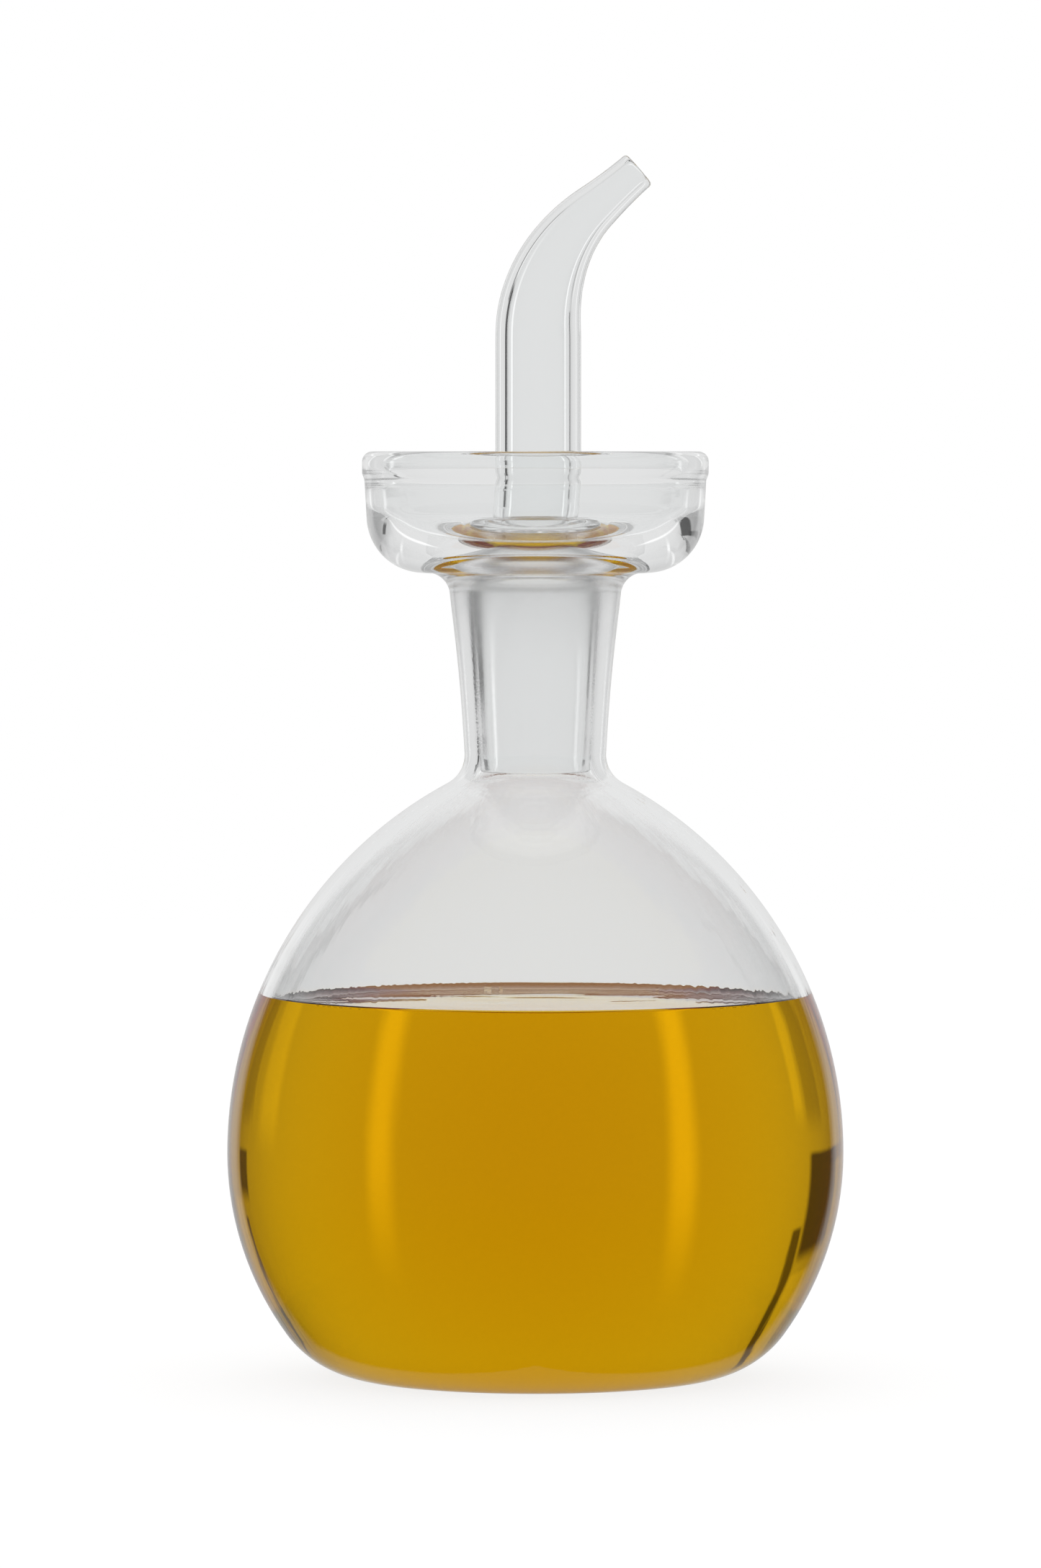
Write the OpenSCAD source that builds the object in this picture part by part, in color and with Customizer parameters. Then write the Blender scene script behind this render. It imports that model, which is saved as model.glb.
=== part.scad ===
// Glass oil cruet: a round bottle with a drip cup welded round its neck, and a lift-out
// pouring stopper whose hollow ground plug sits in the neck's ground socket.
// Millimetres. The origin is the centre of the foot, +Z is up and the spout points to +X.

/* [Globe] */
// Outer radius of the globe at its widest
globe_r = 54; // [48:0.5:60]
// Height of the widest ring above the table
globe_mid_z = 39.5; // [35:0.5:44]
// Radius of the rolled edge between the globe and its foot
foot_roll_r = 19; // [15:0.5:22]
// Width of the flat ring that the bottle stands on
foot_band = 6; // [3:0.5:9]
// Rise of the pushed-up base inside that ring
kick_up = 1.2; // [0.4:0.1:2]
// How much longer than the globe's own radius the curve of the shoulders is
shoulder_swell = 19.5; // [14:0.5:24]
// Radius of the hollow curve between the shoulders and the neck
throat_fillet_r = 5.7; // [4:0.1:8]
// Wall of the blown globe
globe_wall = 2; // [1.5:0.1:2.6]
// Thickness of the base
base_wall = 3; // [2.4:0.1:4]
// Height of the oil's surface
oil_level = 65; // [45:1:80]

/* [Neck and socket] */
// Glass round the ground bore where the neck is welded to the globe
neck_wall = 2.55; // [2.1:0.05:3.2]
// Glass round the ground bore at the top of the neck, under the drip cup
neck_top_wall = 3.5; // [2.6:0.1:4.4]
// Length of the neck, from its weld to the underside of the drip cup
neck_len = 31.8; // [28:0.1:36]
// Radius of the hollow curve between the neck and the cup's underside
neck_fillet_r = 4; // [3:0.1:5.5]
// Radius that rounds the inner lip of the mouth
lip_r = 0.9; // [0.4:0.1:1.4]

/* [Drip cup] */
// Outer radius of the cup just under its rim bead
cup_r = 29.9; // [27:0.1:34]
// Height of the cup, from its underside to the top of its rim
cup_h = 21.2; // [18:0.1:26]
// How far the cup's wall leans outwards, in degrees
cup_lean = 3.2; // [1:0.1:6]
// Wall of the cup
cup_wall = 2.4; // [1.8:0.1:3]
// Thickness of the cup's floor, where the neck's tube is melted in
cup_floor = 3.6; // [2.8:0.1:4.6]
// Width of the flat ring under the cup, between the neck's curve and the cup's corner
cup_flat = 1; // [0.4:0.1:2]
// Width of the fire-polished rim bead
bead_w = 3.6; // [3:0.1:4.2]
// Height of the rim bead
bead_h = 4.8; // [4.4:0.1:6]
// How far the bead stands out from the wall under it
bead_proud = 0.4; // [0.2:0.05:0.6]

/* [Ground plug] */
// Radius of the plug at the mouth of the socket
plug_r = 11.55; // [10.9:0.05:12.4]
// Length along the joint for each 1 mm of diameter that it narrows
joint_taper = 10; // [8:0.5:14]
// Length of the plug below the mouth
plug_len = 39.1; // [37:0.1:41]
// Wall of the hollow plug
plug_wall = 1.3; // [0.9:0.05:1.6]
// Radius that rounds the edge of the shoulder over the plug
plug_shoulder_r = 1; // [0.6:0.1:1.6]
// Radius inside the hollow plug, where its bore closes in to the spout's bore
crown_r = 2.2; // [1.6:0.1:2.6]
// Radius of the weld's hollow curve between the shoulder and the spout
weld_fillet_r = 1.8; // [1:0.1:2.2]
// Clearance all round between the plug and its socket
joint_gap = 0.05; // [0.02:0.01:0.1]
// Depth of the air groove along the plug's ground face
groove_depth = 0.6; // [0.3:0.05:0.7]
// Radius of the round-bottomed air groove
groove_r = 1.3; // [0.8:0.1:2]

/* [Spout] */
// Outer radius of the straight spout tube
spout_r = 7.5; // [6.8:0.1:8]
// Wall of the spout tube
spout_wall = 2; // [1.4:0.1:2.4]
// Straight length of the spout above its weld
spout_rise = 36; // [25:0.1:45]
// Radius of the bend, at the middle of the tube
bend_r = 28; // [22:0.5:36]
// Angle that the spout bends over
bend_angle = 49; // [35:1:65]
// Length of the straight nose after the bend
nose_len = 10.6; // [6:0.1:16]
// Outer radius of the nose at its tip
nose_r = 3.5; // [3.2:0.1:4.2]
// Wall of the nose at its tip
nose_wall = 1.3; // [1:0.1:1.5]
// How far below the bend the tube starts to narrow
taper_lead = 2; // [0:0.5:6]

/* [Hidden] */

arc_step = 4;          // degrees between the points of a drawn curve
turn_fn = 144;         // steps of a full turn
ring_sides = 36;       // sides of the swept spout
taper_rings = 22;      // rings along the stretch that narrows
lip_step = 30;         // degrees between the rings round the tip's lip
clear_glass = [0.86, 0.91, 0.91, 0.4];
ground_glass = [0.82, 0.86, 0.86, 0.65];
olive_oil = [0.8, 0.62, 0.02, 0.9];

// Neck: its outer side is a straight cone round the ground bore, up to the curve under the cup.
throat_r = bore_below_mouth(cup_floor + neck_len);
neck_r = throat_r + neck_wall;
neck_top_r = bore_below_mouth(cup_floor) + neck_top_wall;
neck_angle = atan((neck_top_r - neck_r) / neck_len);

// Globe: one chain of arcs gives the outside and another the inside. The hollow curves at
// the neck share their centre, so the wall runs from the globe's to the neck's thickness
// over the shoulders. The heights above stack up from where that curve meets the neck.
throat_x = neck_r + throat_fillet_r;
weld_z = globe_mid_z + chord(globe_r + shoulder_swell + throat_fillet_r, throat_x + shoulder_swell);
inner_fillet_r = throat_fillet_r + neck_wall;
inner_swell = swell_through(globe_r - globe_wall + inner_fillet_r, throat_x, weld_z - globe_mid_z);
cup_z = weld_z + neck_len;
mouth_z = cup_z + cup_floor;
plug_end_z = mouth_z - plug_len;
neck_weld_r = neck_top_r + neck_fillet_r * (1 / cos(neck_angle) - tan(neck_angle));

// Cup: the corner outside starts past the flat ring, the one inside starts at the weld,
// and each is as large as fits under the leaning wall.
bead_z = cup_z + cup_h - bead_h;
cup_wall_x = cup_wall / cos(cup_lean);
corner_x = neck_weld_r + cup_flat;
cup_corner_r = corner_fit(cup_side(cup_z) - corner_x);
inner_corner_r = corner_fit(cup_side(mouth_z) - cup_wall_x - neck_weld_r);
bead_end_r = bead_w / 2;
bead_x = cup_side(bead_z) + bead_proud - bead_end_r;

// Stopper: shoulder, weld and spout stack up from the mouth.
shoulder_x = plug_r - plug_shoulder_r;
shoulder_top_z = mouth_z + plug_shoulder_r;
spout_bore_r = spout_r - spout_wall;
spout_z = shoulder_top_z + weld_fillet_r;
bend_z = spout_z + spout_rise;
bend_len = bend_r * bend_angle * PI / 180;
tip_len = bend_len + nose_len;
tip_lip_r = nose_wall / 2;
crown_z = shoulder_top_z - plug_wall;
crown_x = plug_side(crown_z - crown_r) - plug_wall - crown_r;

function chord(r, x) = sqrt(r * r - x * x);
// How far past the axis the centre of an arc lies, so that a curve of reach k from the
// widest ring has its hollow curve's centre at x, and h above the ring.
function swell_through(k, x, h) = (x * x + h * h - k * k) / (2 * (k - x));
// Radius of a corner that starts flat and runs into the leaning wall, room away at its foot.
function corner_fit(room) = room / (1 / cos(cup_lean) - tan(cup_lean));
// Plug and socket are one cone, so their radii come from the depth below the mouth.
function plug_side(z) = plug_r - (mouth_z - z) / (2 * joint_taper);
function bore_below_mouth(depth) = plug_r + joint_gap - depth / (2 * joint_taper);
function cup_side(z) = cup_r - (bead_z - z) * tan(cup_lean);

// Points along an arc about [x, z], from angle a to angle b.
function arc(x, z, r, a, b) =
    let (steps = max(2, ceil(abs(b - a) / arc_step)))
    [for (i = [0 : steps]) let (t = a + (b - a) * i / steps) [x + r * cos(t), z + r * sin(t)]];

// The rolled edge and the lower globe, for a body of radius r whose floor is at floor_z.
function roll_x(r, roll, floor_z) = chord(r - roll, globe_mid_z - floor_z - roll);
function lower_globe(r, roll, floor_z) =
    let (x = roll_x(r, roll, floor_z), z = floor_z + roll, a = -atan2(globe_mid_z - z, x))
    concat(arc(x, z, roll, -90, a), arc(0, globe_mid_z, r, a, 0));

// The shoulders of a body of radius r, and the hollow curve that turns up into the throat.
function upper_globe(r, swell, fillet) =
    let (a = atan2(weld_z - globe_mid_z, throat_x + swell))
    concat(arc(-swell, globe_mid_z, r + swell, 0, a), arc(throat_x, weld_z, fillet, 180 + a, 180));

// A shallow dome from the axis out to radius x, which rises by h above height z.
function dome(x, z, h) =
    let (r = (x * x + h * h) / (2 * h))
    [for (i = [0 : 6]) let (s = x * i / 6) [s, z + h - r + chord(r, s)]];

function globe_outside() =
    let (band_x = roll_x(globe_r, foot_roll_r, 0))
    concat(dome(band_x - foot_band, 0, kick_up),
           lower_globe(globe_r, foot_roll_r, 0),
           upper_globe(globe_r, shoulder_swell, throat_fillet_r));

function globe_inside() =
    let (roll = foot_roll_r - globe_wall)
    concat(dome(roll_x(globe_r - globe_wall, roll, base_wall), base_wall, kick_up),
           lower_globe(globe_r - globe_wall, roll, base_wall),
           upper_globe(globe_r - globe_wall, inner_swell, inner_fillet_r));

module cavity_outline() polygon(concat(globe_inside(), [[throat_r, weld_z], [0, weld_z]]));

// The blown globe with its foot, up to the weld at the neck.
module globe() color(clear_glass) rotate_extrude($fn = turn_fn)
    difference() {
        polygon(concat(globe_outside(), [[neck_r, weld_z], [0, weld_z]]));
        cavity_outline();
    }

// The oil fills the cavity up to its level.
module oil() color(olive_oil) rotate_extrude($fn = turn_fn)
    intersection() {
        cavity_outline();
        square([globe_r, oil_level]);
    }

// The neck: a ground tapered bore inside, and a flange that the cup is welded to.
module neck_socket() color(clear_glass) rotate_extrude($fn = turn_fn)
    polygon(concat(
        [[throat_r, weld_z], [neck_r, weld_z]],
        arc(neck_weld_r, cup_z - neck_fillet_r, neck_fillet_r, 180 - neck_angle, 90),
        [[neck_weld_r, mouth_z]],
        arc(bore_below_mouth(0) + lip_r, mouth_z - lip_r, lip_r, 90, 180)));

// The cup's wall with its rounded corner, and the thick bead along its rim.
module drip_cup() color(clear_glass) rotate_extrude($fn = turn_fn) {
    polygon(concat(
        [[neck_weld_r, cup_z]],
        arc(corner_x, cup_z + cup_corner_r, cup_corner_r, -90, -cup_lean),
        [[cup_side(bead_z + bead_end_r), bead_z + bead_end_r],
         [cup_side(bead_z + bead_end_r) - cup_wall_x, bead_z + bead_end_r]],
        arc(neck_weld_r, mouth_z + inner_corner_r, inner_corner_r, -cup_lean, -90)));
    translate([bead_x, bead_z + bead_end_r]) circle(bead_end_r, $fn = turn_fn);
    translate([bead_x, cup_z + cup_h - bead_end_r]) circle(bead_end_r, $fn = turn_fn);
    translate([bead_x - bead_end_r, bead_z + bead_end_r]) square([bead_w, bead_h - bead_w]);
}

// The hollow plug, its rounded shoulder and the flared weld under the spout.
module plug_body() rotate_extrude($fn = turn_fn)
    polygon(concat(
        arc(plug_side(plug_end_z) - plug_wall / 2, plug_end_z + plug_wall / 2, plug_wall / 2, -180, 0),
        arc(shoulder_x, mouth_z, plug_shoulder_r, 0, 90),
        arc(spout_r + weld_fillet_r, spout_z, weld_fillet_r, -90, -180),
        [[spout_bore_r, spout_z]],
        arc(spout_bore_r + weld_fillet_r, crown_z + weld_fillet_r, weld_fillet_r, 180, 270),
        arc(crown_x, crown_z - crown_r, crown_r, 90, 0)));

module ground_plug() color(ground_glass)
    difference() {
        plug_body();
        translate([0, plug_r - groove_depth + groove_r, mouth_z])
            rotate([-atan(1 / (2 * joint_taper)), 0, 0])
            translate([0, 0, -plug_len * 1.1])
            cylinder(h = plug_len * 1.3, r = groove_r, $fn = 48);
    }

// The spout's middle line: up, round the bend towards +X, and along the nose.
// s is the length past the start of the bend, and the result is [x, z, lean].
function spout_line(s) =
    let (t = bend_angle * min(max(s, 0), bend_len) / bend_len, nose = max(0, s - bend_len))
    [bend_r * (1 - cos(t)) + nose * sin(t), bend_z + min(s, 0) + bend_r * sin(t) + nose * cos(t), t];

// The tube narrows smoothly from just under the bend to its tip, and its wall thins with it.
function ease(t) = t * t * (3 - 2 * t);
function narrowed(a, b, s) = a + (b - a) * ease(max(0, s + taper_lead) / (tip_len + taper_lead));
function tube_r(s) = narrowed(spout_r, nose_r, s);
function bore_r(s) = tube_r(s) - narrowed(spout_wall, nose_wall, s);

function ring(s, r) =
    let (p = spout_line(s))
    [for (i = [0 : ring_sides - 1]) let (a = 360 * i / ring_sides)
        [p[0] + r * cos(a) * cos(p[2]), r * sin(a), p[1] - r * cos(a) * sin(p[2])]];

// A closed skin through rings of points: the last ring joins the first.
module ring_skin(rings) {
    count = len(rings);
    faces = [for (i = [0 : count - 1], j = [0 : ring_sides - 1], half = [0, 1])
        let (k = (j + 1) % ring_sides, n = (i + 1) % count,
             a = i * ring_sides + j, b = i * ring_sides + k, c = n * ring_sides + k, d = n * ring_sides + j)
        half == 0 ? [a, c, b] : [a, d, c]];
    polyhedron([for (r = rings, p = r) p], faces);
}

// Up the outside, round the fire-polished lip of the tip, and back down the bore.
module spout_tube() color(clear_glass) {
    lip_s = tip_len - tip_lip_r;
    stations = concat([-spout_rise], [for (i = [0 : taper_rings])
        -taper_lead + (lip_s + taper_lead) * i / taper_rings]);
    last = len(stations) - 1;
    ring_skin(concat(
        [for (s = stations) ring(s, tube_r(s))],
        [for (a = [lip_step : lip_step : 180 - lip_step])
            ring(lip_s + tip_lip_r * sin(a), tube_r(lip_s) + tip_lip_r * (cos(a) - 1))],
        [for (i = [last : -1 : 0]) ring(stations[i], bore_r(stations[i]))]));
}

globe();
neck_socket();
drip_cup();
oil();
ground_plug();
spout_tube();
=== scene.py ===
# %% [markdown]
# # A glass oil bottle with a pouring stopper
# This lesson dresses a measured model of a kitchen oil bottle. The bottle is blown
# glass: a round globe, a neck with a ground socket, and a cup that catches drips. Its
# stopper is a second piece of glass, a hollow ground plug that carries a bent spout.
# The measured model is loaded first and stays fixed.

# %% Load the measured model
import math

import bmesh
import bpy
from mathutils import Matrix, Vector


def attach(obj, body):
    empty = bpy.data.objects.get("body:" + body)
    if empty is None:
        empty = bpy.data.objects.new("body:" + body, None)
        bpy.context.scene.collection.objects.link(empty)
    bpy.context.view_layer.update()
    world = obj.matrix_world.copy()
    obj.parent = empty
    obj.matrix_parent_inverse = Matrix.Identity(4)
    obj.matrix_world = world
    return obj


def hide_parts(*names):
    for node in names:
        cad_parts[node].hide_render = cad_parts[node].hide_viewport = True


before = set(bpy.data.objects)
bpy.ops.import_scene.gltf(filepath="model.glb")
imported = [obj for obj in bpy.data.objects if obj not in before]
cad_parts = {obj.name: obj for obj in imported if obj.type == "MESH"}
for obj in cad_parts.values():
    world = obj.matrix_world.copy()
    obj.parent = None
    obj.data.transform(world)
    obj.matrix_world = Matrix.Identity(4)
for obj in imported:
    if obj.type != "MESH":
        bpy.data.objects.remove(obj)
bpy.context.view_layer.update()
MM = 0.001

# %% [markdown]
# The camera stands where one stands to show tableware: 1.55 m away with a long lens, a
# little over the rim of the cup, and tipped down by 2 degrees. The long lens keeps the
# round shapes from looking stretched, and the small tip shows the mouths of the cup and
# of the socket as thin ellipses.

# %% Camera
CAMERA_PLACE = (-0.0026, -1.55, 0.163)
CAMERA_TIP = math.radians(2.179)
CAMERA_LENS = 203.4
camera_data = bpy.data.cameras.new("camera")
camera_data.lens = CAMERA_LENS
camera_data.clip_end = 50
camera = bpy.data.objects.new("camera", camera_data)
camera.location = CAMERA_PLACE
camera.rotation_euler = (math.pi / 2 - CAMERA_TIP, 0, 0)
bpy.context.scene.collection.objects.link(camera)
bpy.context.scene.camera = camera
print("camera at", CAMERA_PLACE, "m, lens", CAMERA_LENS, "mm")

# %% [markdown]
# Everything round on this bottle was turned in a flame, so each piece starts as half of
# its cross-section. The section is a chain of arcs, each given by its centre, radius and
# two angles, which is how a draughtsman draws a bottle. Sizes are in millimetres here.

# %% Arcs of the cross-section
def arc(x, z, radius, start, end, step=3):
    """Points on an arc about (x, z), from one angle in degrees to another."""
    count = max(2, math.ceil(abs(end - start) / step))
    angles = [math.radians(start + (end - start) * i / count) for i in range(count + 1)]
    return [(x + radius * math.cos(a), z + radius * math.sin(a)) for a in angles]


def dome(radius, z, rise, count=10):
    """A shallow dome from the axis out to a radius, as points."""
    ball = (radius * radius + rise * rise) / (2 * rise)
    foot = z + rise - ball
    return [(radius * i / count, foot + math.sqrt(ball ** 2 - (radius * i / count) ** 2))
            for i in range(count + 1)]


def soft_step(x0, z0, x1, z1, count=10):
    """A smooth S from one point to another, upright at both ends."""
    ease = [(1 - math.cos(math.pi * i / count)) / 2 for i in range(count + 1)]
    return [(x0 + (x1 - x0) * e, z0 + (z1 - z0) * i / count) for i, e in enumerate(ease)]

# %% [markdown]
# Two helpers do the glassblower's work. `draw_section` starts from a plane merged to one
# vertex and extrudes that vertex along the section, as one would with the E key. `turn`
# spins the section round the upright axis and merges the seam and the poles. Then
# `finish_piece` turns all faces outwards and shades them smooth, since fire leaves no
# edges on glass.

# %% Draw and turn a section
def draw_section(name, points):
    """A chain of edges through the points (in mm), as a new object in edit mode."""
    bpy.ops.object.select_all(action="DESELECT")
    bpy.ops.mesh.primitive_plane_add(size=MM)
    piece = bpy.context.object
    piece.name = piece.data.name = name
    bpy.ops.object.mode_set(mode="EDIT")
    bpy.ops.mesh.select_all(action="SELECT")
    bpy.ops.mesh.merge(type="CENTER")
    here = Vector((0, 0, 0))
    for count, (x, z) in enumerate(points):
        there = Vector((x * MM, 0, z * MM))
        if count == 0:
            bpy.ops.transform.translate(value=there - here)
        else:
            step = {"value": there - here}
            bpy.ops.mesh.extrude_vertices_move(TRANSFORM_OT_translate=step)
        here = there
    return piece


def turn(steps):
    """Spins the section once round the axis and closes it."""
    bpy.ops.mesh.select_all(action="SELECT")
    bpy.ops.mesh.spin(steps=steps, angle=2 * math.pi, center=(0, 0, 0), axis=(0, 0, 1))
    bpy.ops.mesh.select_all(action="SELECT")
    bpy.ops.mesh.remove_doubles(threshold=0.002 * MM)


def finish_piece(piece):
    """Faces outwards, smooth, back in object mode."""
    bpy.ops.mesh.select_all(action="SELECT")
    bpy.ops.mesh.normals_make_consistent(inside=False)
    bpy.ops.object.mode_set(mode="OBJECT")
    bpy.ops.object.shade_smooth()
    size = [round(v / MM, 1) for v in piece.dimensions]
    print(f"{piece.name}: {len(piece.data.polygons)} faces, {size} mm")

# %% [markdown]
# The plug and its socket are one cone: it narrows by 1 mm of diameter in 10 mm, from the
# mouth of the socket down to the end of the plug. Both pieces take their radius from it,
# with a gap of a twentieth of a millimetre between them.

# %% The ground joint
WELD_Z = 109.22
MOUTH_Z = 144.62
PLUG_END_Z = 105.52
PLUG_MOUTH_R = 11.55
JOINT_GAP = 0.05


def plug_x(z):
    """Radius of the plug's ground face at a height."""
    return PLUG_MOUTH_R - (MOUTH_Z - z) / 20


def socket_x(z):
    """Radius of the ground socket at a height."""
    return plug_x(z) + JOINT_GAP


print("plug radius", plug_x(MOUTH_Z), "mm at the mouth,", plug_x(PLUG_END_Z), "at the end")

# %% [markdown]
# The bottle is one skin of glass. Its section runs from the middle of the pushed-up base
# out along the foot ring, up the globe, the shoulders and the neck, round the cup and
# over its fire-polished bead, and then back down the inside. Were the globe, the neck
# and the cup three closed meshes, light would bend at each weld, and a weld in real
# glass can't be seen that way. The outside comes first.

# %% Outside of the globe
GLOBE_Z, GLOBE_R = 39.5, 54
GLOBE_WALL = 2
BASE_R, BASE_RISE = 22.4, 1.2
FOOT_X, FOOT_R, FOOT_ANGLE = 28.37, 19, 35.85
SHOULDER_SWELL, SHOULDER_ANGLE = 19.5, 61.66

outside = dome(BASE_R, 0, BASE_RISE)
outside += arc(FOOT_X, FOOT_R, FOOT_R, -90, -FOOT_ANGLE)
outside += arc(0, GLOBE_Z, GLOBE_R, -FOOT_ANGLE, 0, 2)[1:]
outside += arc(-SHOULDER_SWELL, GLOBE_Z, GLOBE_R + SHOULDER_SWELL,
               0, SHOULDER_ANGLE, 1.5)[1:]
print("outside of the globe:", len(outside), "points")

# %% [markdown]
# A small hollow curve leads from the shoulder into the neck. The neck widens upwards and
# is drawn in by a third of a millimetre halfway, as a tube is when it is pulled in the
# flame. Then comes the underside of the cup, with a hollow curve, a flat ring and a full
# round corner, and the cup's wall leans out by 3.2 degrees.

# %% Outside of the neck and the cup
THROAT_X, THROAT_FILLET = 18.08, 5.7
NECK_R, NECK_FLARE, NECK_HOLLOW = 12.38, 0.0934, 0.3
CUP_Z, CUP_FILLET, CUP_CORNER = 141.02, 4, 9.91
FILLET_START = 172.8
FLOOR_X = 18.61
LEAN = 3.2


def neck_x(h):
    """Radius of the neck's outside, this many mm over the weld."""
    return NECK_R + NECK_FLARE * h - NECK_HOLLOW * math.sin(math.pi * h / 28)


outside += arc(THROAT_X, WELD_Z, THROAT_FILLET, 180 + SHOULDER_ANGLE, 180, 5)[1:]
outside += [(neck_x(h), WELD_Z + h) for h in (3, 7, 11, 15, 19, 23, 26)]
outside += arc(FLOOR_X + 0.35, CUP_Z - CUP_FILLET, CUP_FILLET, FILLET_START, 90, 5)
outside += arc(FLOOR_X + 1, CUP_Z + CUP_CORNER, CUP_CORNER, -90, -LEAN)
print("outside up to the rim:", len(outside), "points")

# %% [markdown]
# The rim of the cup is a bead: the glass was melted back until it drew into a rounded
# ring, a little proud of the wall on both sides. The S curves under it keep its meeting
# with the wall soft, because a sharp inner corner would throw dark streaks into the cup.

# %% Rim bead of the cup
BEAD_Z = 157.42
CUP_R = 29.9
CUP_WALL = 2.404
BEAD_X, BEAD_TOP_Z, BEAD_R = 28.5, 160.42, 1.8
OUT_LOW, OUT_HIGH = 156.9, 158.6
IN_LOW, IN_HIGH = 155.6, 160


def cup_wall_x(z):
    """Radius of the cup's outer wall at a height under the bead."""
    return CUP_R - (BEAD_Z - z) * math.tan(math.radians(LEAN))


rim = soft_step(cup_wall_x(OUT_LOW), OUT_LOW, BEAD_X + BEAD_R, OUT_HIGH, 8)
rim += arc(BEAD_X, BEAD_TOP_Z, BEAD_R, 0, 180, 10)
rim += soft_step(BEAD_X - BEAD_R, IN_HIGH, cup_wall_x(IN_LOW) - CUP_WALL, IN_LOW, 12)
print("highest point of the bead", round(max(z for x, z in rim), 2), "mm")

# %% [markdown]
# Inside, the cup has a rounded corner and a floor that dips by half a millimetre round
# the socket's mouth. The wall of the globe is 2 mm thick at its widest ring and grows to
# the 2.5 mm of the neck. The hollow curves outside and inside the throat share one
# centre, so the wall has no wedge there: a wedge would bend the colour of the oil up
# into the neck. `inner_swell` is how far past the axis the centre of the inner shoulder
# curve lies for the two curves to meet.

# %% Inside of the cup and the throat
LIP_R = 0.2
FLOOR_Z = MOUTH_Z + 0.55
CORNER_X, CORNER_UP, CORNER_R = 18.9, 8.45, 8.3

inner_globe_r = GLOBE_R - GLOBE_WALL
curve_r = THROAT_X - socket_x(WELD_Z)
both_r = inner_globe_r + curve_r
throat_up = WELD_Z - GLOBE_Z
inner_swell = (THROAT_X ** 2 + throat_up ** 2 - both_r ** 2) / (2 * (both_r - THROAT_X))
inner_r = inner_globe_r + inner_swell
throat_angle = math.degrees(math.atan2(throat_up, THROAT_X + inner_swell))

inside = arc(CORNER_X, FLOOR_Z + CORNER_UP, CORNER_R, -4, -87)
inside += [(16.5, FLOOR_Z + 0.07), (13.5, FLOOR_Z), (13.1, FLOOR_Z - 0.18),
           (12.6, FLOOR_Z - 0.35), (12.1, FLOOR_Z - 0.5), (11.8, MOUTH_Z)]
inside += arc(socket_x(MOUTH_Z) + LIP_R, MOUTH_Z - LIP_R, LIP_R, 90, 180, 15)
inside += [(socket_x(WELD_Z + h), WELD_Z + h) for h in range(32, 0, -4)]
inside += arc(THROAT_X, WELD_Z, curve_r, 180, 180 + throat_angle, 5)
print("inner swell", round(inner_swell, 2), "mm, throat angle", round(throat_angle, 2))

# %% [markdown]
# The lower half of the globe's inside is a helper with an inset, because the skin of the
# oil follows the same curve a hair's breadth further in.

# %% Inside of the globe, and the finished bottle
INNER_FOOT_X, INNER_FOOT_Z, INNER_FOOT_R, INNER_FOOT_ANGLE = 29.06, 20, 17, 33.86
FLOOR_THICKNESS = 3


def low_wall(inset):
    """The inside from the widest ring down to the floor, moved inwards by an inset."""
    side = arc(0, GLOBE_Z, inner_globe_r - inset, 0, -INNER_FOOT_ANGLE, 1.5)[1:]
    return side + arc(INNER_FOOT_X, INNER_FOOT_Z, INNER_FOOT_R - inset,
                      -INNER_FOOT_ANGLE, -90)[1:]


shoulder_inside = arc(-inner_swell, GLOBE_Z, inner_r, throat_angle, 0, 1)[1:]
floor_inside = dome(INNER_FOOT_X, FLOOR_THICKNESS, BASE_RISE)[::-1][1:]
inside += shoulder_inside + low_wall(0) + floor_inside

bottle = draw_section("bottle_glass", outside + rim + inside)
turn(160)
finish_piece(bottle)

# %% [markdown]
# Glass is finished in slots, because one skin carries three finishes: clear fire-polished
# glass, the ground socket that grips the plug, and the stretch of inner wall that the oil
# wets. Oil bends light almost as much as glass does, so where they touch light goes
# straight on. The faces of each stretch are picked in code by their place and normal.

# %% Pick the finish of each face
CONTACT_Z = 67.0
CLEAR, GROUND, WETTED = 0, 1, 2
GLOBE_REACH, SOCKET_REACH = 52.5, 13


def assign_slots(piece, choose):
    """Gives each face the material index that choose(centre, radius, normal) returns."""
    counts = {}
    for face in piece.data.polygons:
        centre = face.center / MM
        face.material_index = choose(centre, centre.to_2d().length, face.normal)
        counts[face.material_index] = counts.get(face.material_index, 0) + 1
    print(piece.name, "faces in each slot", counts)


def bottle_slot(centre, radius, normal):
    """Finish of a face of the bottle."""
    inwards = normal.dot(centre - Vector((0, 0, GLOBE_Z))) < 0
    if centre.z < CONTACT_Z and inwards and radius < GLOBE_REACH:
        return WETTED
    facing_axis = normal.to_2d().dot(centre.to_2d()) < 0
    in_joint = WELD_Z < centre.z < MOUTH_Z - LIP_R and radius < SOCKET_REACH
    if in_joint and facing_axis:
        return GROUND
    return CLEAR


assign_slots(bottle, bottle_slot)

# %% [markdown]
# The oil fills the globe up to 65.7 mm. Its skin follows the inner wall 0.06 mm inside it,
# so that the two meshes never cross. At the wall the oil climbs 1.3 mm, as oil does on
# clean glass, and that rounded ring draws the fine bright and dark lines round its edge.

# %% The oil
OIL_Z = 65.7
OIL_GAP = 0.06
CLIMB_WIDTH = 9
CLIMB_SCALE = 1.6


def inner_wall_x(z):
    """Radius of the inner wall at a height between the widest ring and the throat."""
    return -inner_swell + math.sqrt(inner_r ** 2 - (z - GLOBE_Z) ** 2)


def climb(away):
    """How far the oil has climbed, this many mm from the wall."""
    left = math.exp(-CLIMB_WIDTH / CLIMB_SCALE) * away / CLIMB_WIDTH
    return (CONTACT_Z - OIL_Z) * (math.exp(-away / CLIMB_SCALE) - left)


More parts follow.
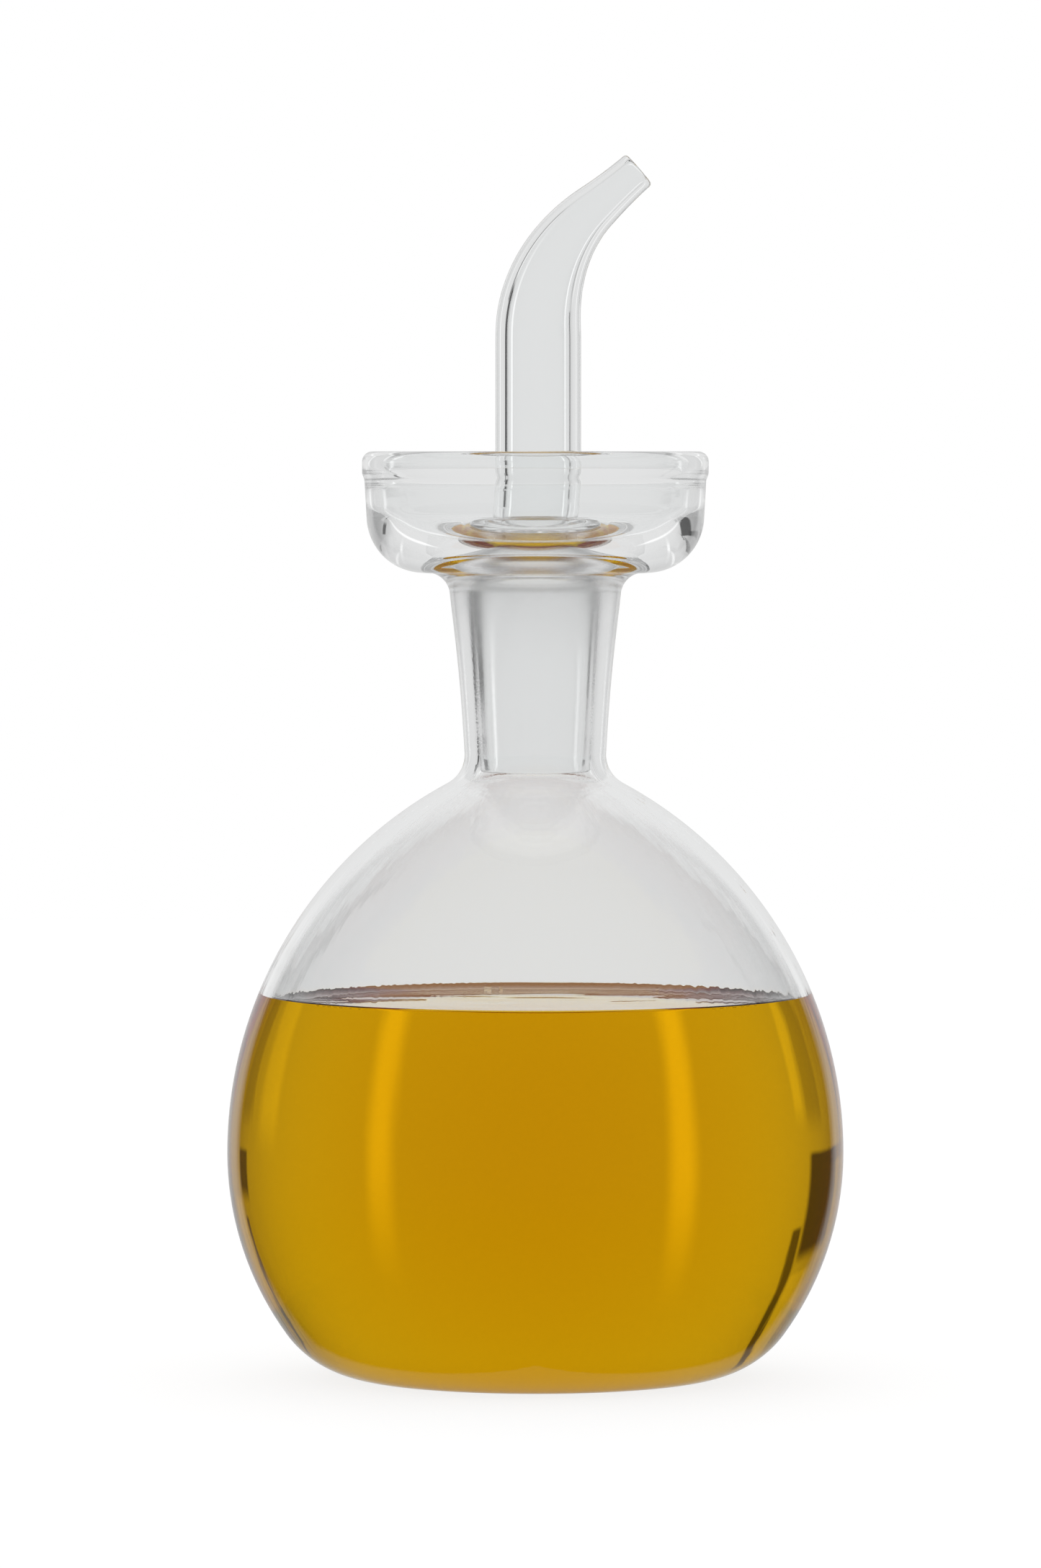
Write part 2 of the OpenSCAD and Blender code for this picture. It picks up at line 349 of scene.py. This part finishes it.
climb_steps = [CLIMB_WIDTH * (i / 14) ** 2 for i in range(15)]
oil_edge_x = inner_wall_x(CONTACT_Z) - OIL_GAP
oil_top = [(oil_edge_x - away, OIL_Z + climb(away)) for away in climb_steps]
oil_top += [(x, OIL_Z) for x in (34, 28, 20, 10, 0)]
oil_side = [(x - OIL_GAP, z) for x, z in shoulder_inside if z < CONTACT_Z - 0.3]
oil_floor = [(x, z + OIL_GAP) for x, z in floor_inside]
oil = draw_section("oil_fill", oil_top[::-1] + oil_side + low_wall(OIL_GAP) + oil_floor)
turn(160)
finish_piece(oil)

# %% [markdown]
# The skin of the oil has two stretches as well: the free surface, with its climbing ring,
# and the body that lies against the glass.

# %% Surface and body of the oil
OIL_SURFACE, OIL_BODY = 0, 1


def oil_slot(centre, radius, normal):
    """Finish of a face of the oil."""
    if centre.z > OIL_Z - 0.5 and radius < inner_wall_x(centre.z) - OIL_GAP - 0.05:
        return OIL_SURFACE
    return OIL_BODY


assign_slots(oil, oil_slot)

# %% [markdown]
# The stopper is one skin too. The hollow ground plug, its rounded shoulder and the flared
# weld are turned from a section that is left open at the top. The two rings left there
# are then pushed along the spout like a glass tube on a rod: extrude, tilt, scale.

# %% The plug
SPOUT_Z = 147.42
SPOUT_R, SPOUT_BORE_R = 7.5, 5.5
PLUG_WALL = 1.3
CROWN_Z, CROWN_R = 144.32, 2.2
WELD_FLARE = 1.8
SHOULDER_R = 1
plug_heights = [MOUTH_Z - 3.6 * i for i in range(1, 11)]
plug_lip = PLUG_WALL / 2

plug = arc(SPOUT_R + WELD_FLARE, SPOUT_Z, WELD_FLARE, -180, -90, 10)
plug += arc(PLUG_MOUTH_R - SHOULDER_R, MOUTH_Z, SHOULDER_R, 90, 0, 15)
plug += [(plug_x(z), z) for z in plug_heights]
plug += arc(plug_x(PLUG_END_Z) - plug_lip, PLUG_END_Z + plug_lip, plug_lip, 0, -180, 15)
plug += [(plug_x(z) - PLUG_WALL, z) for z in plug_heights[::-1]]
plug += arc(7.92, CROWN_Z - CROWN_R, CROWN_R, 0, 90, 10)
plug += arc(SPOUT_BORE_R + WELD_FLARE, CROWN_Z + WELD_FLARE, WELD_FLARE, 270, 180, 15)
plug += [(SPOUT_BORE_R, SPOUT_Z)]
stopper = draw_section("stopper_glass", plug)
turn(96)
print("from the end of the plug to the spout", round(SPOUT_Z - PLUG_END_Z, 1), "mm")

# %% [markdown]
# A shallow groove runs along the back of the ground face: it lets air in past the plug,
# without which no oil would come out of the spout. It is pressed in by moving the
# vertices of that face towards the axis, most in the middle of the groove.

# %% Air groove
GROOVE_DEPTH = 0.6
GROOVE_WIDTH, GROOVE_REACH = 1.1, 3
mesh = bmesh.from_edit_mesh(stopper.data)
pressed = 0
for vertex in mesh.verts:
    x, y, z = vertex.co / MM
    on_face = abs(math.hypot(x, y) - plug_x(z)) < 0.03 and z < MOUTH_Z - 1
    if on_face and y > 0 and abs(x) < GROOVE_REACH:
        vertex.co.y -= GROOVE_DEPTH * MM * math.exp(-(x / GROOVE_WIDTH) ** 2)
        pressed += 1
bmesh.update_edit_mesh(stopper.data)
print("vertices pressed in for the groove", pressed)

# %% [markdown]
# The spout rises straight, bends over by 49 degrees towards +X and narrows smoothly to
# its tip, and its wall thins with it. `spout_station` gives the middle, the tilt and the
# two radii at any length along it. The tube was welded on by eye: it stands half a
# millimetre off the axis of the plug.

# %% The spout's middle line
SPOUT_WALL = SPOUT_R - SPOUT_BORE_R
BEND_Z = 183.42
BEND_R = 28
BEND = math.radians(49)
BEND_LENGTH = BEND_R * BEND
NOSE_LENGTH = 10.59
TIP_LENGTH = BEND_LENGTH + NOSE_LENGTH
TIP_R, TIP_WALL = 3.5, 1.3
OFF_AXIS, OFF_AXIS_RISE = 0.5, 12
NARROWS_EARLY = 2


def spout_station(s):
    """Middle, tilt, outer and inner radius of the spout, s mm past the bend's start."""
    tilt = BEND * min(max(s, 0), BEND_LENGTH) / BEND_LENGTH
    nose = max(0, s - BEND_LENGTH)
    x = BEND_R * (1 - math.cos(tilt)) + nose * math.sin(tilt)
    z = BEND_Z + min(s, 0) + BEND_R * math.sin(tilt) + nose * math.cos(tilt)
    x += OFF_AXIS * min(1, max(0, (z - SPOUT_Z) / OFF_AXIS_RISE))
    t = max(0, s + NARROWS_EARLY) / (TIP_LENGTH + NARROWS_EARLY)
    ease = t * t * (3 - 2 * t)
    outer = SPOUT_R + (TIP_R - SPOUT_R) * ease
    wall = SPOUT_WALL + (TIP_WALL - SPOUT_WALL) * ease
    return Vector((x, 0, z)) * MM, tilt, outer, outer - wall


straight = [-32 + 4.3 * i for i in range(7)]
curved = [-2 + 0.9 * i for i in range(41)]
lengths = [SPOUT_Z - BEND_Z] + [s for s in straight + curved if s < TIP_LENGTH - 0.7]
stations = [spout_station(s) for s in lengths + [TIP_LENGTH - 0.65]]
print("stations along the spout", len(stations))

# %% [markdown]
# With no window to click in, a ring is selected in code: by its height and radius at the
# weld, and by its distance from the tube's middle at the tip. `push_ring` extrudes what
# is selected to the next station, tilts it about that station and scales it to size.

# %% Push the rings along the spout
def select_ring(piece, middle, along, radius):
    """Selects the vertices at a radius from a middle, in the plane across a direction."""
    bpy.ops.mesh.select_all(action="DESELECT")
    mesh = bmesh.from_edit_mesh(piece.data)
    for vertex in mesh.verts:
        offset = vertex.co - middle
        in_plane = abs(offset.dot(along)) < 0.01 * MM
        if in_plane and abs(offset.length / MM - radius) < 0.05:
            vertex.select = True
    mesh.select_flush(True)
    bmesh.update_edit_mesh(piece.data)


def push_ring(here, there, scale):
    """Extrudes the selected ring to the next station of the spout."""
    step = {"value": there[0] - here[0]}
    bpy.ops.mesh.extrude_region_move(TRANSFORM_OT_translate=step)
    if there[1] != here[1]:
        bpy.ops.transform.rotate(value=here[1] - there[1], orient_axis="Y",
                                 center_override=there[0])
    if scale != 1:
        bpy.ops.transform.resize(value=(scale, scale, scale), center_override=there[0])


OUTER, INNER = 2, 3
for layer in (OUTER, INNER):
    select_ring(stopper, stations[0][0], Vector((0, 0, 1)), stations[0][layer])
    for here, there in zip(stations, stations[1:]):
        push_ring(here, there, there[layer] / here[layer])
print("rings pushed for each skin", len(stations) - 1)

# %% [markdown]
# The tip is cut and melted round. Its lip is half a circle from the outer skin to the
# inner one, pushed out as five more rings, and the last ring is bridged to the inner one.

# %% The tip of the spout
end, tilt, outer, inner = stations[-1]
along = Vector((math.sin(tilt), 0, math.cos(tilt)))
lip = (outer - inner) / 2


def lip_station(angle):
    """Middle, tilt and radius of the lip's ring at an angle round its half circle."""
    middle = end + along * MM * lip * math.sin(angle)
    return middle, tilt, (outer + inner) / 2 + lip * math.cos(angle)


select_ring(stopper, end, along, outer)
lips = [lip_station(math.radians(a)) for a in range(0, 180, 30)]
for here, there in zip(lips, lips[1:]):
    push_ring(here, there, there[2] / here[2])
bpy.ops.mesh.select_all(action="DESELECT")
bpy.ops.mesh.select_non_manifold()
bpy.ops.mesh.bridge_edge_loops()
finish_piece(stopper)


def stopper_slot(centre, radius, normal):
    """Finish of a face of the stopper."""
    outwards = normal.to_2d().dot(centre.to_2d()) > 0
    return GROUND if PLUG_END_Z + 1 < centre.z < MOUTH_Z and outwards else CLEAR


assign_slots(stopper, stopper_slot)

# %% [markdown]
# A few small bubbles lie on the oil: one short row at the wall on the front left, one on
# the front right, and three more at the back. Each is a flattened sphere whose foot dips
# into the oil where it starts to climb. One sphere is modelled and copied, and the copies
# are joined, because they have one finish and ride on one body.

# %% Bubbles on the oil
BUBBLE_SPOTS = [  # angle in degrees from +X, radius in mm
    (216.0, 0.55), (218.2, 0.4), (219.8, 0.6), (221.9, 0.35), (223.6, 0.45), (226.5, 0.3),
    (229.0, 0.35), (311.5, 0.35), (313.8, 0.5), (315.4, 0.3), (317.7, 0.55), (320.1, 0.4),
    (322.0, 0.5), (324.6, 0.3), (98.0, 0.4), (101.0, 0.5), (60.0, 0.35)]
FROM_WALL = 2.2
LOCAL_CLIMB = 0.35
STANDS_OVER, FLATNESS = 0.55, 0.8
bpy.ops.object.select_all(action="DESELECT")
bpy.ops.mesh.primitive_ico_sphere_add(subdivisions=3, radius=MM)
ball = bpy.context.object
bubbles = []
for turn_by, size in BUBBLE_SPOTS:
    bubble = ball.copy()
    bubble.data = ball.data.copy()
    bpy.context.scene.collection.objects.link(bubble)
    from_axis = (inner_wall_x(OIL_Z) - FROM_WALL - size) * MM
    angle = math.radians(turn_by)
    bubble.location = (from_axis * math.cos(angle), from_axis * math.sin(angle),
                       (OIL_Z + LOCAL_CLIMB + STANDS_OVER * size) * MM)
    bubble.scale = (size, size, size * FLATNESS)
    bubbles.append(bubble)
bpy.data.objects.remove(ball)
bpy.ops.object.select_all(action="DESELECT")
for bubble in bubbles:
    bubble.select_set(True)
bpy.context.view_layer.objects.active = bubbles[0]
bpy.ops.object.join()
bubbles = bpy.context.object
bubbles.name = bubbles.data.name = "oil_bubbles"
bpy.ops.object.transform_apply(location=True, rotation=True, scale=True)
bpy.ops.object.shade_smooth()
print("bubbles", len(BUBBLE_SPOTS), "faces", len(bubbles.data.polygons))

# %% [markdown]
# Glass has hardly a colour of its own: it shows by bending what stands behind it, so its
# material is a Principled shader with full transmission and the index of refraction of
# borosilicate glass, 1.47. Two patterns make it blown glass. Broad soft waves, a few
# centimetres long, stand for the uneven wall. Fine streaks, drawn out along the globe,
# are the striae that a blowpipe leaves. Both go through a Bump node, because they are
# far shallower than the mesh could carry. Indices, absorption colours and densities stay
# on the shaders' own sockets, so that the exported model keeps them.

# %% A plain glass material
def new_material(name):
    """A material with nodes, as (material, nodes, links)."""
    material = bpy.data.materials.new(name)
    material.use_nodes = True
    return material, material.node_tree.nodes, material.node_tree.links


def glass(name, ior, roughness=0.0, colour=(1, 1, 1)):
    """A transparent Principled material."""
    material, nodes, links = new_material(name)
    shader = nodes["Principled BSDF"]
    shader.inputs["Base Color"].default_value = (*colour, 1)
    shader.inputs["Roughness"].default_value = roughness
    shader.inputs["IOR"].default_value = ior
    shader.inputs["Transmission Weight"].default_value = 1
    return material

# %% [markdown]
# Patterns are built from the same few nodes, so each step gets a helper: a sum, a soft
# step from 0 to 1, the object's own x, y and z, and the length of a level direction. Each
# piece sits at the origin, so its own z is the height over the table.

# %% Sums, steps and heights in nodes
def math_node(nodes, links, operation, *values):
    """A Math node on sockets or numbers, as its output."""
    node = nodes.new("ShaderNodeMath")
    node.operation = operation
    for socket, value in zip(node.inputs, values):
        if hasattr(value, "links"):
            links.new(value, socket)
        else:
            socket.default_value = value
    return node.outputs[0]


def smooth_step(nodes, links, value, low, high):
    """0 under low, 1 over high, smooth between."""
    node = nodes.new("ShaderNodeMapRange")
    node.interpolation_type = "SMOOTHSTEP"
    node.inputs["From Min"].default_value = low
    node.inputs["From Max"].default_value = high
    links.new(value, node.inputs["Value"])
    return node.outputs["Result"]


def object_axes(nodes, links):
    """The object's own x, y and z, in metres."""
    place = nodes.new("ShaderNodeTexCoord")
    split = nodes.new("ShaderNodeSeparateXYZ")
    links.new(place.outputs["Object"], split.inputs[0])
    return split.outputs


def flat_length(nodes, links, x, y, least):
    """Length of the level part of a vector, and never less than least."""
    squares = math_node(nodes, links, "ADD", math_node(nodes, links, "MULTIPLY", x, x),
                        math_node(nodes, links, "MULTIPLY", y, y))
    length = math_node(nodes, links, "SQRT", squares)
    return math_node(nodes, links, "MAXIMUM", length, least)

# %% [markdown]
# `noise` is a cloudy pattern that can be stretched along an axis. `meridian_noise` is
# drawn out along the piece instead, from the foot to the neck: it reads the direction
# round the axis, so that its streaks close up where the globe narrows, as real ones do.

# %% Noise and bump
def noise(nodes, links, scale, detail, stretch=(1, 1, 1)):
    """Noise on Object coordinates; scale is in cycles per metre."""
    place = nodes.new("ShaderNodeTexCoord")
    mapping = nodes.new("ShaderNodeMapping")
    mapping.inputs["Scale"].default_value = stretch
    pattern = nodes.new("ShaderNodeTexNoise")
    pattern.inputs["Scale"].default_value = scale
    pattern.inputs["Detail"].default_value = detail
    links.new(place.outputs["Object"], mapping.inputs["Vector"])
    links.new(mapping.outputs["Vector"], pattern.inputs["Vector"])
    return pattern.outputs["Fac"]


def add_bump(material, height, distance):
    """Puts a height pattern on a material's shader, distance in metres."""
    nodes, links = material.node_tree.nodes, material.node_tree.links
    bump = nodes.new("ShaderNodeBump")
    bump.inputs["Distance"].default_value = distance
    bump.inputs["Strength"].default_value = 1
    links.new(height, bump.inputs["Height"])
    links.new(bump.outputs["Normal"], nodes["Principled BSDF"].inputs["Normal"])


def meridian_noise(nodes, links, around, along, detail):
    """Noise drawn out along the piece: cycles round the axis, and cycles per metre up."""
    x, y, z = object_axes(nodes, links)
    radius = flat_length(nodes, links, x, y, 0.0005)
    join = nodes.new("ShaderNodeCombineXYZ")
    for socket, value in zip(join.inputs, (x, y)):
        part = math_node(nodes, links, "DIVIDE", value, radius)
        links.new(math_node(nodes, links, "MULTIPLY", part, around), socket)
    links.new(math_node(nodes, links, "MULTIPLY", z, along), join.inputs["Z"])
    pattern = nodes.new("ShaderNodeTexNoise")
    pattern.inputs["Scale"].default_value = 1
    pattern.inputs["Detail"].default_value = detail
    links.new(join.outputs[0], pattern.inputs["Vector"])
    return pattern.outputs["Fac"]

# %% [markdown]
# The clear glass has its waves everywhere, and its streaks on the globe alone, because
# the neck, the cup and the spout were drawn from finished tube. It is a shade short of
# white in the red, as clear glass is. The wetted wall has an index of 1: the light that
# crosses it is on its way from glass into oil, and doesn't bend.

# %% Clear glass
GLASS_INDEX = 1.47
WAVE_DISTANCE = 0.0002
WAVE_SCALE, WAVE_SHARE = 38, 0.5
STREAKS_ROUND, STREAKS_UP, STREAK_SHARE = 7, 9, 0.35
STREAKS_FADE, STREAKS_END = 0.100, 0.112


def wave_height(nodes, links):
    """Broad waves, and on the globe streaks that run up towards the neck."""
    waves = math_node(nodes, links, "MULTIPLY",
                      noise(nodes, links, WAVE_SCALE, 1, (1, 1, 0.6)), WAVE_SHARE)
    streaks = meridian_noise(nodes, links, STREAKS_ROUND, STREAKS_UP, 3)
    z = object_axes(nodes, links)["Z"]
    above = smooth_step(nodes, links, z, STREAKS_FADE, STREAKS_END)
    on_globe = math_node(nodes, links, "MULTIPLY_ADD", above, -STREAK_SHARE, STREAK_SHARE)
    return math_node(nodes, links, "MULTIPLY_ADD", streaks, on_globe, waves)


clear_glass = glass("clear_glass", GLASS_INDEX, 0.0, (0.993, 1.0, 1.0))
nodes, links = clear_glass.node_tree.nodes, clear_glass.node_tree.links
add_bump(clear_glass, wave_height(nodes, links), WAVE_DISTANCE)
wetted_glass = glass("wetted_glass", 1.0)
print("nodes in clear glass", len(nodes))

# %% [markdown]
# The joint was ground with grit. Its face scatters light, most where it is dry, and it
# carries a grain of about a third of a millimetre and faint rings from the turning. Oil
# has crept up from below, so the grind is clearer at the foot of the joint than at its
# mouth: the roughness follows the height, with a patchy edge.

# %% Ground glass
WET_ROUGHNESS, DRY_ROUGHNESS = 0.03, 0.27
DRY_FROM, DRY_TO = 0.124, 0.148
EDGE_SCALE, EDGE_HEIGHT = 260, 0.012
GRAIN_SCALE, RING_SCALE, RING_SHARE = 2600, 900, 0.5
GRIND_DISTANCE = 0.000008

ground_glass = glass("ground_glass", GLASS_INDEX)
nodes, links = ground_glass.node_tree.nodes, ground_glass.node_tree.links
wet_edge = math_node(nodes, links, "MULTIPLY",
                     noise(nodes, links, EDGE_SCALE, 4, (1, 1, 0.5)), EDGE_HEIGHT)
height = math_node(nodes, links, "ADD", object_axes(nodes, links)["Z"], wet_edge)
dry = smooth_step(nodes, links, height, DRY_FROM, DRY_TO)
roughness = math_node(nodes, links, "MULTIPLY_ADD", dry,
                      DRY_ROUGHNESS - WET_ROUGHNESS, WET_ROUGHNESS)
links.new(roughness, nodes["Principled BSDF"].inputs["Roughness"])
grain = noise(nodes, links, GRAIN_SCALE, 3)
rings = noise(nodes, links, RING_SCALE, 2, (0.02, 0.02, 1))
faint_rings = math_node(nodes, links, "MULTIPLY", rings, RING_SHARE)
grind = math_node(nodes, links, "ADD", grain, faint_rings)
add_bump(ground_glass, grind, GRIND_DISTANCE)
print("roughness of the joint", WET_ROUGHNESS, "to", DRY_ROUGHNESS, "from foot to mouth")

# %% [markdown]
# Olive oil lets yellow through and stops blue: a volume absorption does that by depth, so
# thin oil at the edges is pale and the middle of the globe is deep amber. Its skin has
# two slots. The surface bends light as oil against air does. The stretch that touches
# glass bends nothing, since the wetted glass doesn't either, and only holds the colour.
# Both have the same absorption, so that together they close one volume.

# %% Olive oil
def add_absorption(material, colour, density):
    """Colours the inside of a material by depth; density is per metre."""
    nodes, links = material.node_tree.nodes, material.node_tree.links
    absorb = nodes.new("ShaderNodeVolumeAbsorption")
    absorb.inputs["Color"].default_value = (*colour, 1)
    absorb.inputs["Density"].default_value = density
    links.new(absorb.outputs["Volume"], nodes["Material Output"].inputs["Volume"])


OIL_INDEX = 1.46
OIL_COLOUR = (0.947, 0.844, 0.0)
OIL_DENSITY = 70
oil_surface = glass("olive_oil_surface", OIL_INDEX)
oil_body = glass("olive_oil_body", 1.0)
for material in (oil_surface, oil_body):
    add_absorption(material, OIL_COLOUR, OIL_DENSITY)
bubble_film = glass("bubble_film", 1.2, 0.0, (1.0, 0.97, 0.85))
for material, scale, distance in ((oil_surface, 60, 0.0004), (bubble_film, 1500, 0.00002)):
    nodes, links = material.node_tree.nodes, material.node_tree.links
    add_bump(material, noise(nodes, links, scale, 1), distance)
print("oil colour", OIL_COLOUR, "density", OIL_DENSITY, "per metre")

# %% [markdown]
# Each piece gets its finishes in the order of its slots. Then each is tied to its body,
# so that it moves with it, and takes the place of the plain solids that it stands for.

# %% Finishes, bodies and replaced solids
for piece, finishes in ((bottle, (clear_glass, ground_glass, wetted_glass)),
                        (stopper, (clear_glass, ground_glass)),
                        (oil, (oil_surface, oil_body)),
                        (bubbles, (bubble_film,))):
    for finish in finishes:
        piece.data.materials.append(finish)

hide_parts("globe", "neck_socket", "drip_cup")
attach(bottle, "bottle")
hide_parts("ground_plug", "spout_tube")
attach(stopper, "stopper")
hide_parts("oil")
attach(oil, "bottle")
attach(bubbles, "bottle")
print("dressed pieces", [piece.name for piece in (bottle, stopper, oil, bubbles)])

# %% [markdown]
# The studio is white, but clear glass on white would vanish. What draws it is what it
# bends into view from the sides, so the room is darker there. In each direction the room
# has one brightness for the camera, one for the light that falls on the table, one for
# light that has passed through glass and one for light that glass reflects. `side` and
# `back` are the direction's parts to the right and to the back, seen from above, and `z`
# is its part upwards.
#
# On the wall behind the bottle hang dark flags and light panels. A globe of oil turns
# the room over, left to right and top to bottom, so a panel low on the left shows high
# on the right. Dark flags far to the sides draw the dark strokes near the oil's edge and
# the dark lines of the neck, and two tall pale panels draw the long highlights.

# %% Flags and panels of the studio
ROOM_LIGHT = 0.8
THROUGH, SIDES = 0.81, 0.55
DARKEST = 0.08
BACK_MIRRORED, SIDE_MIRRORED, LOW_SHARE = 0.68, 0.04, 0.35
PATCHES = [  # side, half width, soft edge, lowest z, highest z, fade, brightness added
    (-0.85, 0.065, 0.03, -0.055, 0.29, 0.06, -0.87),
    (0.87, 0.02, 0.015, -0.055, 0.12, 0.06, -0.80),
    (-0.97, 0.05, 0.03, -0.06, 0.005, 0.02, -0.60),
    (-0.735, 0.012, 0.02, 0.15, 0.68, 0.08, -0.80),
    (-0.82, 0.035, 0.03, 0.30, 0.70, 0.10, 0.30),
    (0.882, 0.006, 0.008, 0.15, 0.68, 0.10, -0.75),
    (0.925, 0.015, 0.015, 0.10, 0.50, 0.10, 0.30),
    (-0.315, 0.008, 0.045, -0.60, 0.32, 0.40, 0.46),
    (0.335, 0.006, 0.045, -0.60, 0.28, 0.40, 0.42),
    (-0.72, 0.012, 0.02, -0.60, -0.10, 0.10, 0.30),
    (-0.80, 0.030, 0.02, -0.60, -0.08, 0.10, -0.30),
    (0.74, 0.030, 0.03, -0.60, -0.02, 0.15, 0.25),
    (0.86, 0.020, 0.02, -0.60, -0.08, 0.10, -0.30)]
print("dark flags", sum(patch[-1] < 0 for patch in PATCHES),
      "light panels", sum(patch[-1] > 0 for patch in PATCHES))

# %% [markdown]
# A patch is a rectangle with soft edges: it rises from 0 to 1 and falls back to 0, once
# across and once in height. Each patch adds its brightness to 1, and where dark flags
# overlap the sum stops at `DARKEST`.

# %% Soft-edged patches
def band(nodes, links, value, a, b, c, d):
    """0, rising to 1 from a to b, and back to 0 from c to d."""
    fall = math_node(nodes, links, "SUBTRACT", 1.0, smooth_step(nodes, links, value, c, d))
    return math_node(nodes, links, "MULTIPLY", smooth_step(nodes, links, value, a, b), fall)


def patch_light(nodes, links, side, z, behind):
    """What the patches together do to the room's brightness in a direction."""
    total = 1.0
    for middle, half, soft, low, high, fade, strength in PATCHES:
        left, right = middle - half, middle + half
        wide = band(nodes, links, side, left - soft, left, right, right + soft)
        tall = band(nodes, links, z, low, low + 0.02, high - fade, high)
        patch = math_node(nodes, links, "MULTIPLY", wide, tall)
        patch = math_node(nodes, links, "MULTIPLY", patch, behind)
        patch = math_node(nodes, links, "MULTIPLY", patch, strength)
        total = math_node(nodes, links, "ADD", patch, total)
    return math_node(nodes, links, "MAXIMUM", total, DARKEST)

# %% [markdown]
# The studio is one group of nodes, because the room and the table both use it.

# %% Studio brightness by direction
def studio_group():
    """Brightness of the studio in a direction, for each kind of ray."""
    group = bpy.data.node_groups.new("studio", "ShaderNodeTree")
    group.interface.new_socket("Direction", in_out="INPUT", socket_type="NodeSocketVector")
    group.interface.new_socket("Brightness", in_out="OUTPUT", socket_type="NodeSocketFloat")
    nodes, links = group.nodes, group.links

    def calc(operation, *values):
        """A Math node in this group."""
        return math_node(nodes, links, operation, *values)

    def step(value, low, high):
        """A soft step in this group."""
        return smooth_step(nodes, links, value, low, high)

    start = nodes.new("NodeGroupInput")
    split = nodes.new("ShaderNodeSeparateXYZ")
    links.new(start.outputs[0], split.inputs[0])
    x, y, z = split.outputs
    level = flat_length(nodes, links, x, y, 0.0001)
    side, back = calc("DIVIDE", x, level), calc("DIVIDE", y, level)

    patches = patch_light(nodes, links, side, z, step(back, 0.0, 0.1))
    room = calc("MULTIPLY_ADD", step(back, 0.2, 0.9),
                (1 - SIDES) * THROUGH, SIDES * THROUGH)
    through = calc("MULTIPLY", room, patches)
    grazing = calc("MULTIPLY_ADD", step(back, 0.80, 0.88), BACK_MIRRORED, SIDE_MIRRORED)
    upright = calc("MULTIPLY_ADD", step(z, -0.5, 0.0), 1 - LOW_SHARE, LOW_SHARE)
    mirrored = calc("MULTIPLY", grazing, upright)

    path = nodes.new("ShaderNodeLightPath").outputs
    total = path["Is Camera Ray"]
    for ray, brightness in (("Is Diffuse Ray", ROOM_LIGHT),
                            ("Is Transmission Ray", through),
                            ("Is Reflection Ray", mirrored)):
        total = calc("ADD", total, calc("MULTIPLY", path[ray], brightness))
    finish = nodes.new("NodeGroupOutput")
    links.new(total, finish.inputs[0])
    return group


def studio_light(nodes):
    """The studio's brightness as a node in a tree."""
    light = nodes.new("ShaderNodeGroup")
    light.node_tree = studio
    return light


studio = studio_group()
print("nodes in the studio", len(studio.nodes))

# %% [markdown]
# The room itself is the world: it asks the group for its brightness in each direction.

# %% World
world = bpy.data.worlds.new("studio")
world.use_nodes = True
bpy.context.scene.world = world
nodes, links = world.node_tree.nodes, world.node_tree.links
place = nodes.new("ShaderNodeTexCoord")
light = studio_light(nodes)
links.new(place.outputs["Generated"], light.inputs[0])
links.new(light.outputs[0], nodes["Background"].inputs["Strength"])
nodes["Background"].inputs["Color"].default_value = (1, 1, 1, 1)
print("world", world.name)

# %% [markdown]
# The bottle stands on a wide table that is as bright as the room behind it, so that no
# horizon shows. It gives out light of its own, and the little it reflects is the light
# that the bottle can shade, which leaves a soft shadow. Light that glass bends or
# reflects skips the table and sees the room, so no horizon shows in the oil either.

# %% Table
TABLE_SHADE = 0.2
bpy.ops.object.select_all(action="DESELECT")
bpy.ops.mesh.primitive_plane_add(size=3)
table = bpy.context.object
table.name = "table"
material, nodes, links = new_material("studio_table")
shader = nodes["Principled BSDF"]
shader.inputs["Base Color"].default_value = (TABLE_SHADE, TABLE_SHADE, TABLE_SHADE, 1)
shader.inputs["Specular IOR Level"].default_value = 0
shader.inputs["Roughness"].default_value = 1
shader.inputs["Emission Color"].default_value = (1, 1, 1, 1)
light = studio_light(nodes)
light.inputs[0].default_value = (0, 1, 0.5)
glow = math_node(nodes, links, "SUBTRACT", light.outputs[0], ROOM_LIGHT * TABLE_SHADE)
links.new(glow, shader.inputs["Emission Strength"])
table.data.materials.append(material)
table.visible_glossy = False
table.visible_transmission = False
print("table", [round(v, 1) for v in table.dimensions])

# %% [markdown]
# Light crosses many skins of glass here, and at a grazing angle it is reflected inside
# them again and again. Where the count of bounces runs out, Cycles returns black, which
# would draw false dark arcs, so the limits are high. The Standard view keeps white white.

# %% Light bounces and view
BOUNCES = 256
scene = bpy.context.scene
scene.view_settings.view_transform = "Standard"
scene.cycles.max_bounces = BOUNCES
scene.cycles.transmission_bounces = BOUNCES
scene.cycles.glossy_bounces = BOUNCES
print("bounces", BOUNCES, "view", scene.view_settings.view_transform)

# %% [markdown]
# Last, the view layer is brought up to date.

# %% Update, and the end
bpy.context.view_layer.update()
